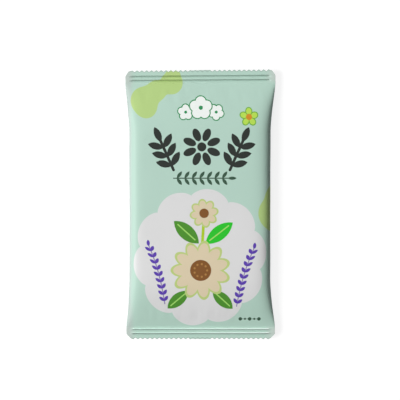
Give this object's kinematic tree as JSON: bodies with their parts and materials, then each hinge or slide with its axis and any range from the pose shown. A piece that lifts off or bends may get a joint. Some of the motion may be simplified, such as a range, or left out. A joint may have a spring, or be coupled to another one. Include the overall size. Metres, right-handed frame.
{
  "type": "wet wipes pack",
  "caption": "Sealed pillow pack of printed film around a folded wet wipe, with crimped, toothed end seals and a flat fin seal along its back.",
  "frame": {"origin": "middle of the footprint, on the plane that the pack lies on", "axes": "+X to the right across the pack, +Y along it towards its top end seal, +Z out of its printed front"},
  "size_m": [0.0702, 0.1258, 0.0097],
  "materials": {
    "printed_film": "semi-gloss laminated film, printed pale mint green"
  },
  "bodies": {
    "root": {"sachet": "printed_film"}
  },
  "joints": []
}
